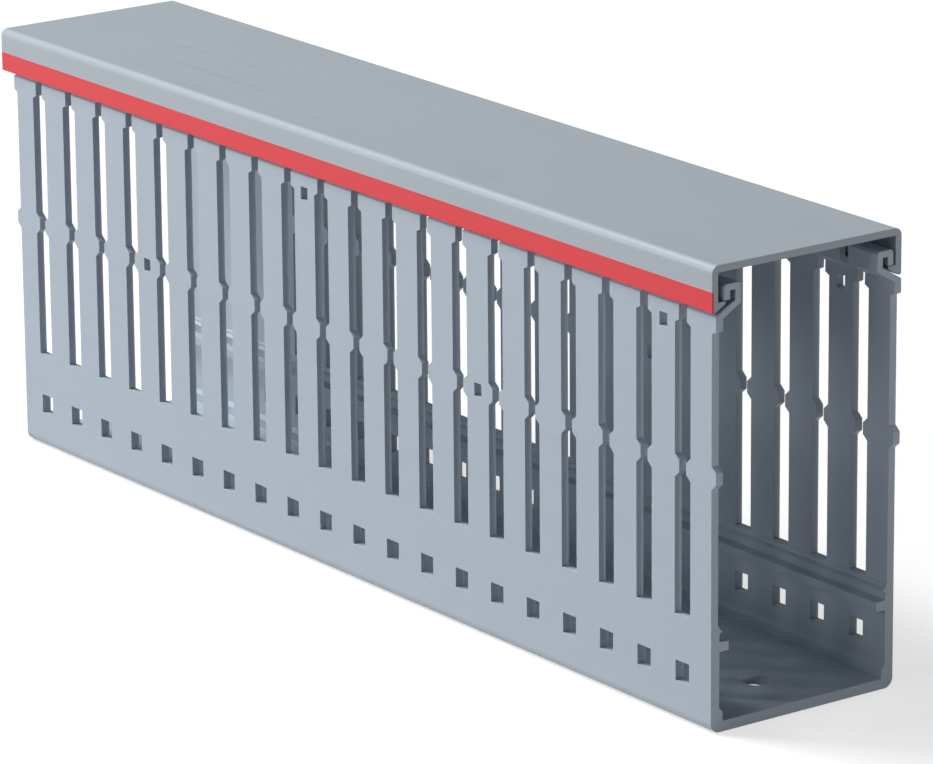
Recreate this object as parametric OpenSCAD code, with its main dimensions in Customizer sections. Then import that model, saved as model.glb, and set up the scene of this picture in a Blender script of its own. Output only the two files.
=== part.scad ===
// Slotted wire duct with its clip-on cover.
// Millimetres. X runs along the duct, Y across it, Z up.
// The origin is on the underside of the base, at the middle of its length and width.

/* [Duct body] */
// Outer width over the two walls
body_width = 38; // [30:0.5:80]
// Height from the underside to the top of the fitted cover
overall_height = 78; // [64:0.5:110]
// Thickness of the base
base_thickness = 1.8; // [1.2:0.1:3]
// Thickness of the fingers
wall_thickness = 1.4; // [1:0.1:2]
// Thickness of the wall below the fingers
foot_thickness = 1.7; // [1.2:0.1:2.4]
// Radius of the outer corners between base and walls
corner_radius = 1.7; // [0.4:0.1:2.4]

/* [Fingers and slots] */
// Distance from one slot to the next
slot_pitch = 10; // [8:0.5:16]
// Number of fingers along each wall
finger_count = 21; // [5:1:40]
// Width of a slot between two fingers
slot_width = 4; // [3:0.1:6]
// Width of the finger at each cut end of a wall
end_finger_width = 5.4; // [4:0.1:10]
// Height of the bottom of the slots
slot_floor = 18.1; // [18:0.1:28]
// Height of the middle of the wire-retaining nubs
nub_height = 43; // [32:0.5:58]
// How far a retaining nub stands into the slot
nub_depth = 1.1; // [0.4:0.1:1.4]
// Length of a nub at its root
nub_root = 3.9; // [2.2:0.1:6]
// Length of a nub at its tip
nub_tip = 2; // [0.6:0.1:3.7]
// How far below the cover's lips the slots narrow to their mouths
mouth_drop = 3.4; // [2.5:0.1:6]
// How far each side of a mouth stands in from the side of its slot
mouth_depth = 1; // [0.4:0.1:1.4]
// Height over which a slot narrows to its mouth
mouth_taper = 0.5; // [0.2:0.1:1.5]

/* [Holes] */
// Side of the square tie holes below the slots
tie_hole = 3.5; // [2:0.1:4]
// Height of the middle of the tie holes
tie_hole_height = 8.5; // [6.5:0.1:11]
// Width of the small holes in the fingers
finger_hole_width = 2; // [1:0.1:3]
// Height of the small holes in the fingers
finger_hole_tall = 2.3; // [1:0.1:4]
// Number of fingers from one small hole to the next
finger_hole_step = 5; // [2:1:10]
// How far the middle of the upper small holes lies below the cover's lips
upper_hole_drop = 3.7; // [2.5:0.1:8]
// Width of the mounting slots in the base
mount_slot_width = 4.5; // [3.5:0.1:5.5]
// End-to-end length of the mounting slots in the base
mount_slot_length = 6; // [5:0.1:12]
// Distance from one mounting slot to the next
mount_spacing = 50; // [25:5:100]
// Distance from the +X end of the walls to the first mounting slot
mount_inset = 12.4; // [8:0.1:30]

/* [Inner ribs] */
// Height of the underside of the divider rib on each wall
rib_height = 13.5; // [11:0.1:14]
// Thickness of the divider rib
rib_thickness = 1.8; // [1:0.1:2]
// How far the divider rib stands out from the wall
rib_depth = 1.9; // [0.5:0.1:3]
// Height of the middle of the small bead above the rib
bead_height = 17; // [16:0.1:17.4]
// Size of the small bead
bead_size = 0.7; // [0.3:0.1:1]
// Height of the thickened foot of each wall
foot_ridge_height = 4.1; // [3.8:0.1:5.5]
// Extra thickness of that foot
foot_ridge_depth = 0.7; // [0.2:0.1:1.5]

/* [Hooked finger heads] */
// Distance from the outer face to the inner side of the neck
neck_reach = 5; // [4.6:0.1:8]
// Thickness of the bent shoulder, the neck and the hook
hook_thickness = 1.1; // [0.7:0.1:1.3]
// How far the shoulder rises on its way in to the neck
shoulder_rise = 2.3; // [1.5:0.1:2.6]
// Height of the room between the heads and the cover plate
head_room = 2; // [0.6:0.1:2.4]

/* [Cover] */
// Length of the cover
cover_length = 209.6; // [50:0.1:400]
// How far the cover sits towards -X from the middle of the duct
cover_shift = 1.9; // [-40:0.1:40]
// Thickness of the cover plate
cover_thickness = 1.2; // [0.8:0.1:1.6]
// Thickness of the cover's lips
lip_thickness = 1.2; // [0.8:0.1:1.6]
// Height of the lips, from the top of the cover
lip_height = 7.8; // [7:0.1:9.5]
// How far a lip stands out past the wall below it
lip_proud = 0.4; // [0:0.1:0.8]
// How far the barb stands in from the lip
barb_depth = 1.5; // [1.2:0.1:2]
// Height of the barb's blunt tip
barb_nose = 0.5; // [0.2:0.1:0.8]
// How far the barb reaches under the hook of a finger head
barb_catch = 0.6; // [0.3:0.1:0.8]
// Radius of the cover's long upper edges
edge_radius = 1.3; // [0.5:0.1:1.8]
// Gap between the lips and the upper edges of the walls
lip_gap = 0.5; // [0.3:0.1:1]
// Gap between the barbs and the finger heads
running_gap = 0.3; // [0.2:0.05:0.4]

/* [Hidden] */
$fn = 48;
// Straight steps in the arc of a rounded long edge
arc_steps = 8;
// How far a cutter runs past a face
past = 1;

// Lengthwise layout
slot_count = finger_count - 1;
slotted_length = (slot_count - 1) * slot_pitch + slot_width;
body_length = slotted_length + 2 * end_finger_width;
end_nub = max(nub_depth, mouth_depth);
// The first small hole is in the finger before the first full step
first_hole_finger = finger_hole_step - 1;
first_mount = body_length / 2 - mount_inset;

// Inner ribs, as distances in from the wall's outer face
ridge_tip = foot_thickness + foot_ridge_depth;
rib_tip = foot_thickness + rib_depth;
rib_draft = 0.15;
// Height over which the foot tapers to the finger's thickness
foot_taper = 0.3;

// Snap fit, as distances in from the wall's outer face
lip_inner = lip_thickness - lip_proud;
barb_tip = lip_inner + barb_depth;
hook_outer = barb_tip - barb_catch;
hook_inner = hook_outer + hook_thickness;
neck_outer = neck_reach - hook_thickness;
head_chamfer = 0.4;
lip_chamfer = 0.2;

// Heights of the snap fit
lip_bottom = overall_height - lip_height;
shoulder = lip_bottom - lip_gap;
mouth_bottom = lip_bottom - mouth_drop;
head_top = overall_height - cover_thickness - head_room;
hook_root = head_top - hook_thickness;

// The shoulder slants up from the wall's outer edge to the neck
slant = shoulder_rise / neck_outer;
// Height taken by a thickness or gap of 1 measured square to the slant
slant_stretch = sqrt(1 + slant * slant);

// Height of the shoulder's upper side, at a distance in from the outer face
function shoulder_top(inward) = shoulder + slant * inward;
// Height of its underside there
function shoulder_under(inward) = shoulder_top(inward) - hook_thickness * slant_stretch;
// Height of the barb's underside there, a running gap above the shoulder
function barb_under(inward) = shoulder_top(inward) + running_gap * slant_stretch;

barb_top = barb_under(barb_tip) + barb_nose;
hook_bottom = barb_top + running_gap;
// Where the barb's underside meets the bottom of the lip
barb_start = barb_tip - (barb_under(barb_tip) - lip_bottom) / slant;

// Centre of a slot along X, counted from 0 at the -X end
function slot_centre(i) = (i - (slot_count - 1) / 2) * slot_pitch;
// Centre of the finger before that slot
function finger_centre(i) = slot_centre(i) - slot_pitch / 2;

// Half outline of a slot: half widths and heights, from the bottom up
function slot_edge(bottom) =
    let (half = slot_width / 2)
    [
        [half, bottom],
        [half, nub_height - nub_root / 2],
        [half - nub_depth, nub_height - nub_tip / 2],
        [half - nub_depth, nub_height + nub_tip / 2],
        [half, nub_height + nub_root / 2],
        [half, mouth_bottom],
        [half - mouth_depth, mouth_bottom + mouth_taper],
        [half - mouth_depth, overall_height],
    ];

function mirrored(points) = [for (i = [len(points) - 1 : -1 : 0]) [-points[i].x, points[i].y]];

module slot_outline() {
    edge = slot_edge(slot_floor);
    polygon(concat(edge, mirrored(edge)));
}

// What is cut away past the first or last finger: the same edge, carried down through the base
module end_outline() {
    edge = slot_edge(-past);
    outside = -slot_width / 2 - past;
    polygon(concat(edge, [[outside, overall_height], [outside, -past]]));
}

// Points of an arc around a centre, from one angle to another
function arc(centre, radius, from, to) =
    [for (k = [0 : arc_steps])
        let (angle = from + (to - from) * k / arc_steps)
        centre + radius * [cos(angle), sin(angle)]];

// Outline of one wall, in from its outer face and up from the underside: from the base up the
// inner side, over the hooked head, and down the outer face to the underside
wall_outline = concat(
    [
        [ridge_tip, base_thickness],
        [ridge_tip, foot_ridge_height - foot_ridge_depth],
        [foot_thickness, foot_ridge_height],
        [foot_thickness, rib_height],
        [rib_tip, rib_height + rib_draft],
        [rib_tip, rib_height + rib_thickness - rib_draft],
        [foot_thickness, rib_height + rib_thickness],
        [foot_thickness, bead_height - bead_size / 2],
        [foot_thickness + bead_size, bead_height],
        [foot_thickness, bead_height + bead_size / 2],
        [foot_thickness, slot_floor - foot_taper],
        [wall_thickness, slot_floor],
        [wall_thickness, shoulder_under(wall_thickness)],
        [neck_reach, shoulder_under(neck_reach)],
        [neck_reach, head_top - head_chamfer],
        [neck_reach - head_chamfer, head_top],
        [hook_outer + head_chamfer, head_top],
        [hook_outer, head_top - head_chamfer],
        [hook_outer, hook_bottom],
        [hook_inner, hook_bottom],
        [hook_inner, hook_root],
        [neck_outer, hook_root],
        [neck_outer, shoulder_top(neck_outer)],
        [0, shoulder],
    ],
    arc([corner_radius, corner_radius], corner_radius, 180, 270));

// The body's section, drawn in Y and Z: a wall at each side, joined by the base
module body_section() {
    half = [for (point = wall_outline) [body_width / 2 - point.x, point.y]];
    polygon(concat(half, mirrored(half)));
}

// Extrudes a section drawn in Y and Z along X
module along(length) {
    rotate([90, 0, 90])
        linear_extrude(height = length, center = true)
            children();
}

// Extrudes an outline drawn in X and Z through both walls
module across() {
    rotate([90, 0, 0])
        linear_extrude(height = body_width + 2 * past, center = true)
            children();
}

module slots() {
    across()
        for (i = [0 : slot_count - 1])
            translate([slot_centre(i), 0])
                slot_outline();
}

module cut_ends() {
    across()
        for (side = [0, 1])
            mirror([side, 0])
                translate([-(body_length + slot_width) / 2, 0])
                    end_outline();
}

module tie_holes() {
    across()
        for (i = [0 : slot_count - 1])
            translate([slot_centre(i), tie_hole_height])
                square(tie_hole, center = true);
}

module finger_holes() {
    across()
        for (i = [first_hole_finger : finger_hole_step : slot_count - 1])
            let (turn = (i - first_hole_finger) / finger_hole_step % 2)
            translate([finger_centre(i), turn == 0 ? nub_height : lip_bottom - upper_hole_drop])
                square([finger_hole_width, finger_hole_tall], center = true);
}

// A mounting slot in the base, long along X
module mount_slot() {
    straight = mount_slot_length - mount_slot_width;
    translate([0, 0, -past])
        linear_extrude(height = base_thickness + 2 * past) {
            square([straight, mount_slot_width], center = true);
            for (side = [-1, 1])
                translate([side * straight / 2, 0])
                    circle(d = mount_slot_width);
        }
}

module mount_slots() {
    for (x = [first_mount : -mount_spacing : mount_inset - body_length / 2])
        translate([x, 0, 0])
            mount_slot();
}

module duct_body() {
    color([0.69, 0.74, 0.78])
        difference() {
            along(body_length + 2 * end_nub)
                body_section();
            slots();
            cut_ends();
            tie_holes();
            finger_holes();
            mount_slots();
        }
}

// Half of the cover's section, drawn in Y and Z: the plate, and the lip with its barb
function cover_half() =
    let (
        face = body_width / 2,
        outside = face + lip_proud,
        corner = [outside - edge_radius, overall_height - edge_radius]
    )
    concat(
        [
            [face - lip_inner, overall_height - cover_thickness],
            [face - lip_inner, barb_top],
            [face - barb_tip, barb_top],
            [face - barb_tip, barb_under(barb_tip)],
            [face - barb_start, lip_bottom],
            [outside - lip_chamfer, lip_bottom],
            [outside, lip_bottom + lip_chamfer],
        ],
        arc(corner, edge_radius, 0, 90));

module cover_section() {
    half = cover_half();
    polygon(concat(half, mirrored(half)));
}

module cover() {
    color([0.66, 0.7, 0.73])
        translate([-cover_shift, 0, 0])
            along(cover_length)
                cover_section();
}

duct_body();
cover();
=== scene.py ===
"""Looks of the slotted wire duct: extruded grey plastic, a red line on the cover's front lip, studio."""

import math

import bpy
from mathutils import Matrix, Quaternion, Vector


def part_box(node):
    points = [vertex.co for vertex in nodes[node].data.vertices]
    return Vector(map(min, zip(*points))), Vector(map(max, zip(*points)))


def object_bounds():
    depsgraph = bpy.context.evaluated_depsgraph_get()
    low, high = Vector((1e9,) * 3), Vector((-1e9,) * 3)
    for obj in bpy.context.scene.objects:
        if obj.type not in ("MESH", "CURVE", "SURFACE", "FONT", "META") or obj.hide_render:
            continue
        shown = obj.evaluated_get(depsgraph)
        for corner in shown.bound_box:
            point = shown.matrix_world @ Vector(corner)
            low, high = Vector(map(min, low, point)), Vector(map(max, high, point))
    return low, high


MM = 0.001

# Camera: where it stands, the point it looks at, its turn about the line of sight and its lens.
CAMERA_PLACE = (0.80781, -0.58197, 0.32570)
CAMERA_AIM = (-0.00351, 0.01044, 0.02893)
CAMERA_ROLL = math.radians(-0.518)
CAMERA_LENS = 230.2
CAMERA_SENSOR = 36.0

# Colours, as sRGB values from 0 to 255.
DUCT_GREY = (174, 185, 197)
COVER_GREY = (170, 179, 186)
LINE_RED = (230, 52, 60)

# Red line on the front lip: its width up from the lip's lower edge, and how deep the skin of red is.
LINE_WIDTH = 3.5 * MM
LINE_SKIN = 0.35 * MM
LINE_BLUR = 0.06 * MM

EDGE_ROUND = 0.12 * MM

# The floor takes the shadow, and its glow, which only the camera sees, lifts it to white.
FLOOR_GREY = (0.4, 0.4, 0.405, 1)
FLOOR_GLOW = 0.66

# Weak cool light from all round.
SKY = (0.6, 0.8, 1.0, 1)
SKY_STRENGTH = 0.03


def linear(colour):
    """An sRGB colour from 0 to 255 as linear RGBA."""
    out = []
    for value in colour:
        v = value / 255
        out.append(v / 12.92 if v <= 0.04045 else ((v + 0.055) / 1.055) ** 2.4)
    return (*out, 1.0)


def scaled(colour, factor):
    """A linear RGBA colour made darker or lighter."""
    return (colour[0] * factor, colour[1] * factor, colour[2] * factor, 1.0)


class Graph:
    """A small helper that adds nodes to a material and links them."""

    def __init__(self, name):
        self.material = bpy.data.materials.new(name)
        self.material.use_nodes = True
        self.tree = self.material.node_tree
        self.tree.nodes.clear()
        self.output = self.add("ShaderNodeOutputMaterial")

    def add(self, kind, **settings):
        node = self.tree.nodes.new(kind)
        for key, value in settings.items():
            setattr(node, key, value)
        return node

    def link(self, source, target):
        self.tree.links.new(source, target)

    def feed(self, socket, value):
        """Links an output, or sets a plain value."""
        if isinstance(value, bpy.types.NodeSocket):
            self.link(value, socket)
        else:
            socket.default_value = value

    def math(self, operation, first, second=0.0, clamp=False):
        node = self.add("ShaderNodeMath", operation=operation, use_clamp=clamp)
        self.feed(node.inputs[0], first)
        self.feed(node.inputs[1], second)
        return node.outputs[0]

    def ramp(self, value, low, high, to_low=0.0, to_high=1.0):
        node = self.add("ShaderNodeMapRange", interpolation_type="SMOOTHSTEP")
        self.feed(node.inputs["Value"], value)
        node.inputs["From Min"].default_value = low
        node.inputs["From Max"].default_value = high
        node.inputs["To Min"].default_value = to_low
        node.inputs["To Max"].default_value = to_high
        return node.outputs["Result"]

    def mix(self, factor, first, second):
        node = self.add("ShaderNodeMix", data_type="RGBA")
        self.feed(node.inputs[0], factor)
        self.feed(node.inputs[6], first)
        self.feed(node.inputs[7], second)
        return node.outputs[2]

    def place(self):
        """The point in the piece's own frame, in metres."""
        return self.add("ShaderNodeTexCoord").outputs["Object"]

    def noise(self, place, stretch, scale, detail=3.0, rough=0.5):
        """Noise that is drawn out by the three factors of stretch."""
        mapping = self.add("ShaderNodeMapping")
        self.link(place, mapping.inputs["Vector"])
        mapping.inputs["Scale"].default_value = stretch
        node = self.add("ShaderNodeTexNoise")
        self.link(mapping.outputs["Vector"], node.inputs["Vector"])
        node.inputs["Scale"].default_value = scale
        node.inputs["Detail"].default_value = detail
        node.inputs["Roughness"].default_value = rough
        return node.outputs["Fac"]


def extruded_plastic(name, grey, line=None):
    """Rigid PVC as it leaves the die: drawn streaks along X, a faint mottle and softly rounded edges."""
    g = Graph(name)
    place = g.place()
    streaks = g.noise(place, (0.012, 1, 1), 2600, 4.0, 0.6)
    bands = g.noise(place, (0.03, 1, 1), 260, 2.0)
    mottle = g.noise(place, (1, 1, 1), 70, 3.0)
    grain = g.noise(place, (1, 1, 1), 4200, 2.0)
    tone = g.math("ADD", g.ramp(streaks, 0.3, 0.7, -0.5, 0.5), g.ramp(bands, 0.3, 0.7, -0.5, 0.5))
    tone = g.math("ADD", tone, g.ramp(mottle, 0.3, 0.7, -0.6, 0.6))
    tone = g.math("MULTIPLY_ADD", tone, 0.25)
    shade = g.ramp(tone, -0.5, 0.5)
    base = linear(grey)
    colour = g.mix(shade, scaled(base, 0.93), scaled(base, 1.07))
    if line is not None:
        colour = g.mix(line_mask(g, place, line), colour, linear(LINE_RED))
    rough = g.ramp(g.math("ADD", streaks, grain), 0.6, 1.4, 0.36, 0.5)
    height = g.math("ADD", g.math("MULTIPLY", streaks, 0.6), g.math("MULTIPLY", grain, 0.4))
    bevel = g.add("ShaderNodeBevel", samples=4)
    bevel.inputs["Radius"].default_value = EDGE_ROUND
    bump = g.add("ShaderNodeBump")
    bump.inputs["Strength"].default_value = 0.12
    bump.inputs["Distance"].default_value = 0.05 * MM
    g.link(height, bump.inputs["Height"])
    g.link(bevel.outputs["Normal"], bump.inputs["Normal"])
    shader = g.add("ShaderNodeBsdfPrincipled")
    g.link(colour, shader.inputs["Base Color"])
    g.link(rough, shader.inputs["Roughness"])
    g.link(bump.outputs["Normal"], shader.inputs["Normal"])
    shader.inputs["Specular IOR Level"].default_value = 0.5
    shader.inputs["IOR"].default_value = 1.53
    g.link(shader.outputs["BSDF"], g.output.inputs["Surface"])
    return g.material


def line_mask(g, place, line):
    """1 inside the red line's box on the lip's outer face, else 0."""
    parts = g.add("ShaderNodeSeparateXYZ")
    g.link(place, parts.inputs[0])
    low, front = line
    under_top = g.ramp(parts.outputs["Z"], low + LINE_WIDTH - LINE_BLUR, low + LINE_WIDTH + LINE_BLUR, 1.0, 0.0)
    on_face = g.ramp(parts.outputs["Y"], front + LINE_SKIN - LINE_BLUR, front + LINE_SKIN + LINE_BLUR, 1.0, 0.0)
    return g.math("MULTIPLY", under_top, on_face)


def dress(node, material):
    """Gives a CAD node its finished material."""
    node.data.materials.clear()
    node.data.materials.append(material)
    node.material_slots[0].link = "OBJECT"
    node.material_slots[0].material = material


def add_area(name, place, aim, size, energy, colour=(1, 1, 1)):
    """A soft square lamp that faces a point."""
    lamp = bpy.data.lights.new(name, "AREA")
    lamp.shape = "RECTANGLE"
    lamp.size = size[0]
    lamp.size_y = size[1]
    lamp.energy = energy
    lamp.color = colour
    thing = bpy.data.objects.new(name, lamp)
    bpy.context.scene.collection.objects.link(thing)
    thing.location = place
    facing = Vector(aim) - Vector(place)
    thing.rotation_mode = "QUATERNION"
    thing.rotation_quaternion = facing.to_track_quat("-Z", "Y")
    return thing


def add_camera():
    """The camera at the picture's viewing angle."""
    data = bpy.data.cameras.new("camera")
    data.lens = CAMERA_LENS
    data.sensor_width = CAMERA_SENSOR
    data.clip_start = 0.01
    data.clip_end = 20
    thing = bpy.data.objects.new("camera", data)
    bpy.context.scene.collection.objects.link(thing)
    thing.location = CAMERA_PLACE
    facing = Vector(CAMERA_AIM) - Vector(CAMERA_PLACE)
    turn = facing.to_track_quat("-Z", "Y") @ Quaternion((0, 0, 1), CAMERA_ROLL)
    thing.rotation_mode = "QUATERNION"
    thing.rotation_quaternion = turn
    bpy.context.scene.camera = thing


def seen_directly(g):
    """1 for rays from the camera, and for those that gloss and glass send on."""
    path = g.add("ShaderNodeLightPath")
    seen = g.math("ADD", path.outputs["Is Camera Ray"], path.outputs["Is Glossy Ray"])
    return g.math("ADD", seen, path.outputs["Is Transmission Ray"], clamp=True)


def floor_material():
    """A white floor that keeps a soft shadow."""
    g = Graph("floor_white")
    diffuse = g.add("ShaderNodeBsdfDiffuse")
    place = g.place()
    cloud = g.noise(place, (1, 1, 1), 6.0, 2.0)
    g.link(g.mix(cloud, FLOOR_GREY, scaled(FLOOR_GREY, 1.03)), diffuse.inputs["Color"])
    glow = g.add("ShaderNodeEmission")
    g.link(g.math("MULTIPLY", seen_directly(g), FLOOR_GLOW), glow.inputs["Strength"])
    both = g.add("ShaderNodeAddShader")
    g.link(diffuse.outputs[0], both.inputs[0])
    g.link(glow.outputs[0], both.inputs[1])
    g.link(both.outputs[0], g.output.inputs["Surface"])
    return g.material


def add_floor(height):
    """A wide level floor under the duct."""
    half = 6.0
    mesh = bpy.data.meshes.new("floor")
    corners = [(-half, -half, 0), (half, -half, 0), (half, half, 0), (-half, half, 0)]
    mesh.from_pydata(corners, [], [(0, 1, 2, 3)])
    thing = bpy.data.objects.new("floor", mesh)
    bpy.context.scene.collection.objects.link(thing)
    thing.location = (0, 0, height)
    mesh.materials.append(floor_material())


def add_world(light, strength):
    """Even light from all round, and white where the camera sees past the floor."""
    world = bpy.data.worlds.new("studio")
    world.use_nodes = True
    tree = world.node_tree
    tree.nodes.clear()
    path = tree.nodes.new("ShaderNodeLightPath")
    dim = tree.nodes.new("ShaderNodeBackground")
    dim.inputs["Color"].default_value = light
    dim.inputs["Strength"].default_value = strength
    white = tree.nodes.new("ShaderNodeBackground")
    white.inputs["Color"].default_value = (1, 1, 1, 1)
    mix = tree.nodes.new("ShaderNodeMixShader")
    out = tree.nodes.new("ShaderNodeOutputWorld")
    tree.links.new(path.outputs["Is Camera Ray"], mix.inputs[0])
    tree.links.new(dim.outputs[0], mix.inputs[1])
    tree.links.new(white.outputs[0], mix.inputs[2])
    tree.links.new(mix.outputs[0], out.inputs["Surface"])
    bpy.context.scene.world = world


def add_lights():
    """A high key and two weak lamps at the front, one at the open end and one behind."""
    centre = (0, 0, 0.04)
    add_area("key_high", (-0.9, -0.55, 1.6), centre, (0.6, 0.6), 32)
    add_area("key_low", (-1.0, -1.3, 0.6), centre, (0.6, 0.6), 9)
    add_area("front_light", (0.2, -1.7, 0.7), centre, (0.6, 0.6), 5)
    add_area("end_light", (1.6, 0.12, 0.2), centre, (0.25, 0.25), 3.6)
    add_area("back_light", (-0.2, 1.6, 1.2), centre, (0.8, 0.8), 6)


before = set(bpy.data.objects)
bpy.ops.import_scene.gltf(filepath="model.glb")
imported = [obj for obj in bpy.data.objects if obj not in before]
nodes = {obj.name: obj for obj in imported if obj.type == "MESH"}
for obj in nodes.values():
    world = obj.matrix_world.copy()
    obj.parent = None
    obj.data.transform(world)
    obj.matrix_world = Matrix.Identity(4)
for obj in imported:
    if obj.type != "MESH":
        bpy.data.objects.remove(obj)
cad_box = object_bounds()

lip_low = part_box("cover")[0]
line_place = (lip_low.z, lip_low.y)
dress(nodes["duct_body"], extruded_plastic("duct_plastic_grey", DUCT_GREY))
dress(nodes["cover"], extruded_plastic("cover_plastic_grey", COVER_GREY, line_place))

bpy.context.scene.view_settings.view_transform = "Standard"
add_camera()
add_floor(cad_box[0][2])
add_world(SKY, SKY_STRENGTH)
add_lights()
